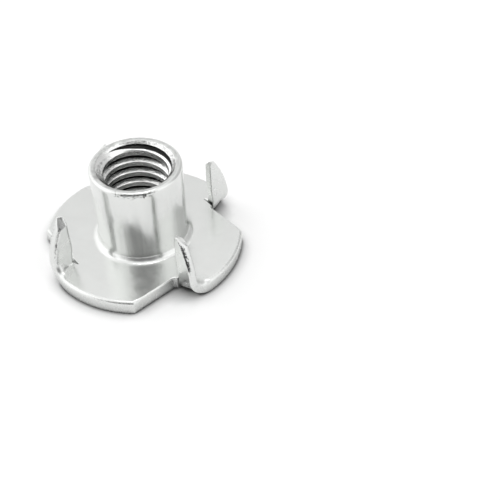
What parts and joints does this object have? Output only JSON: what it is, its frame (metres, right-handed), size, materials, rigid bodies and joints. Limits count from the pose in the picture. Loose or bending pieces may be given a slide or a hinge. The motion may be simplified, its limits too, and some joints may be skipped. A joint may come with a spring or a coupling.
{
  "type": "tee nut",
  "caption": "Flanged sheet-steel tee nut: drawn barrel with a tapped through hole and prongs folded up from the rim to bite into wood.",
  "frame": {"origin": "centre of the tapped hole, on the plane of the flange's underside", "axes": "+Z along the hole's axis from the flange to the barrel's mouth; the corner where one of the rim's cuts begins is on +X, and the others follow at equal turns"},
  "size_m": [0.022, 0.022, 0.0109],
  "materials": {
    "zinc": "bright zinc plate over low-carbon steel, satin on the flange and glossier on the barrel"
  },
  "bodies": {
    "root": {"tee_nut": "zinc"}
  },
  "joints": []
}
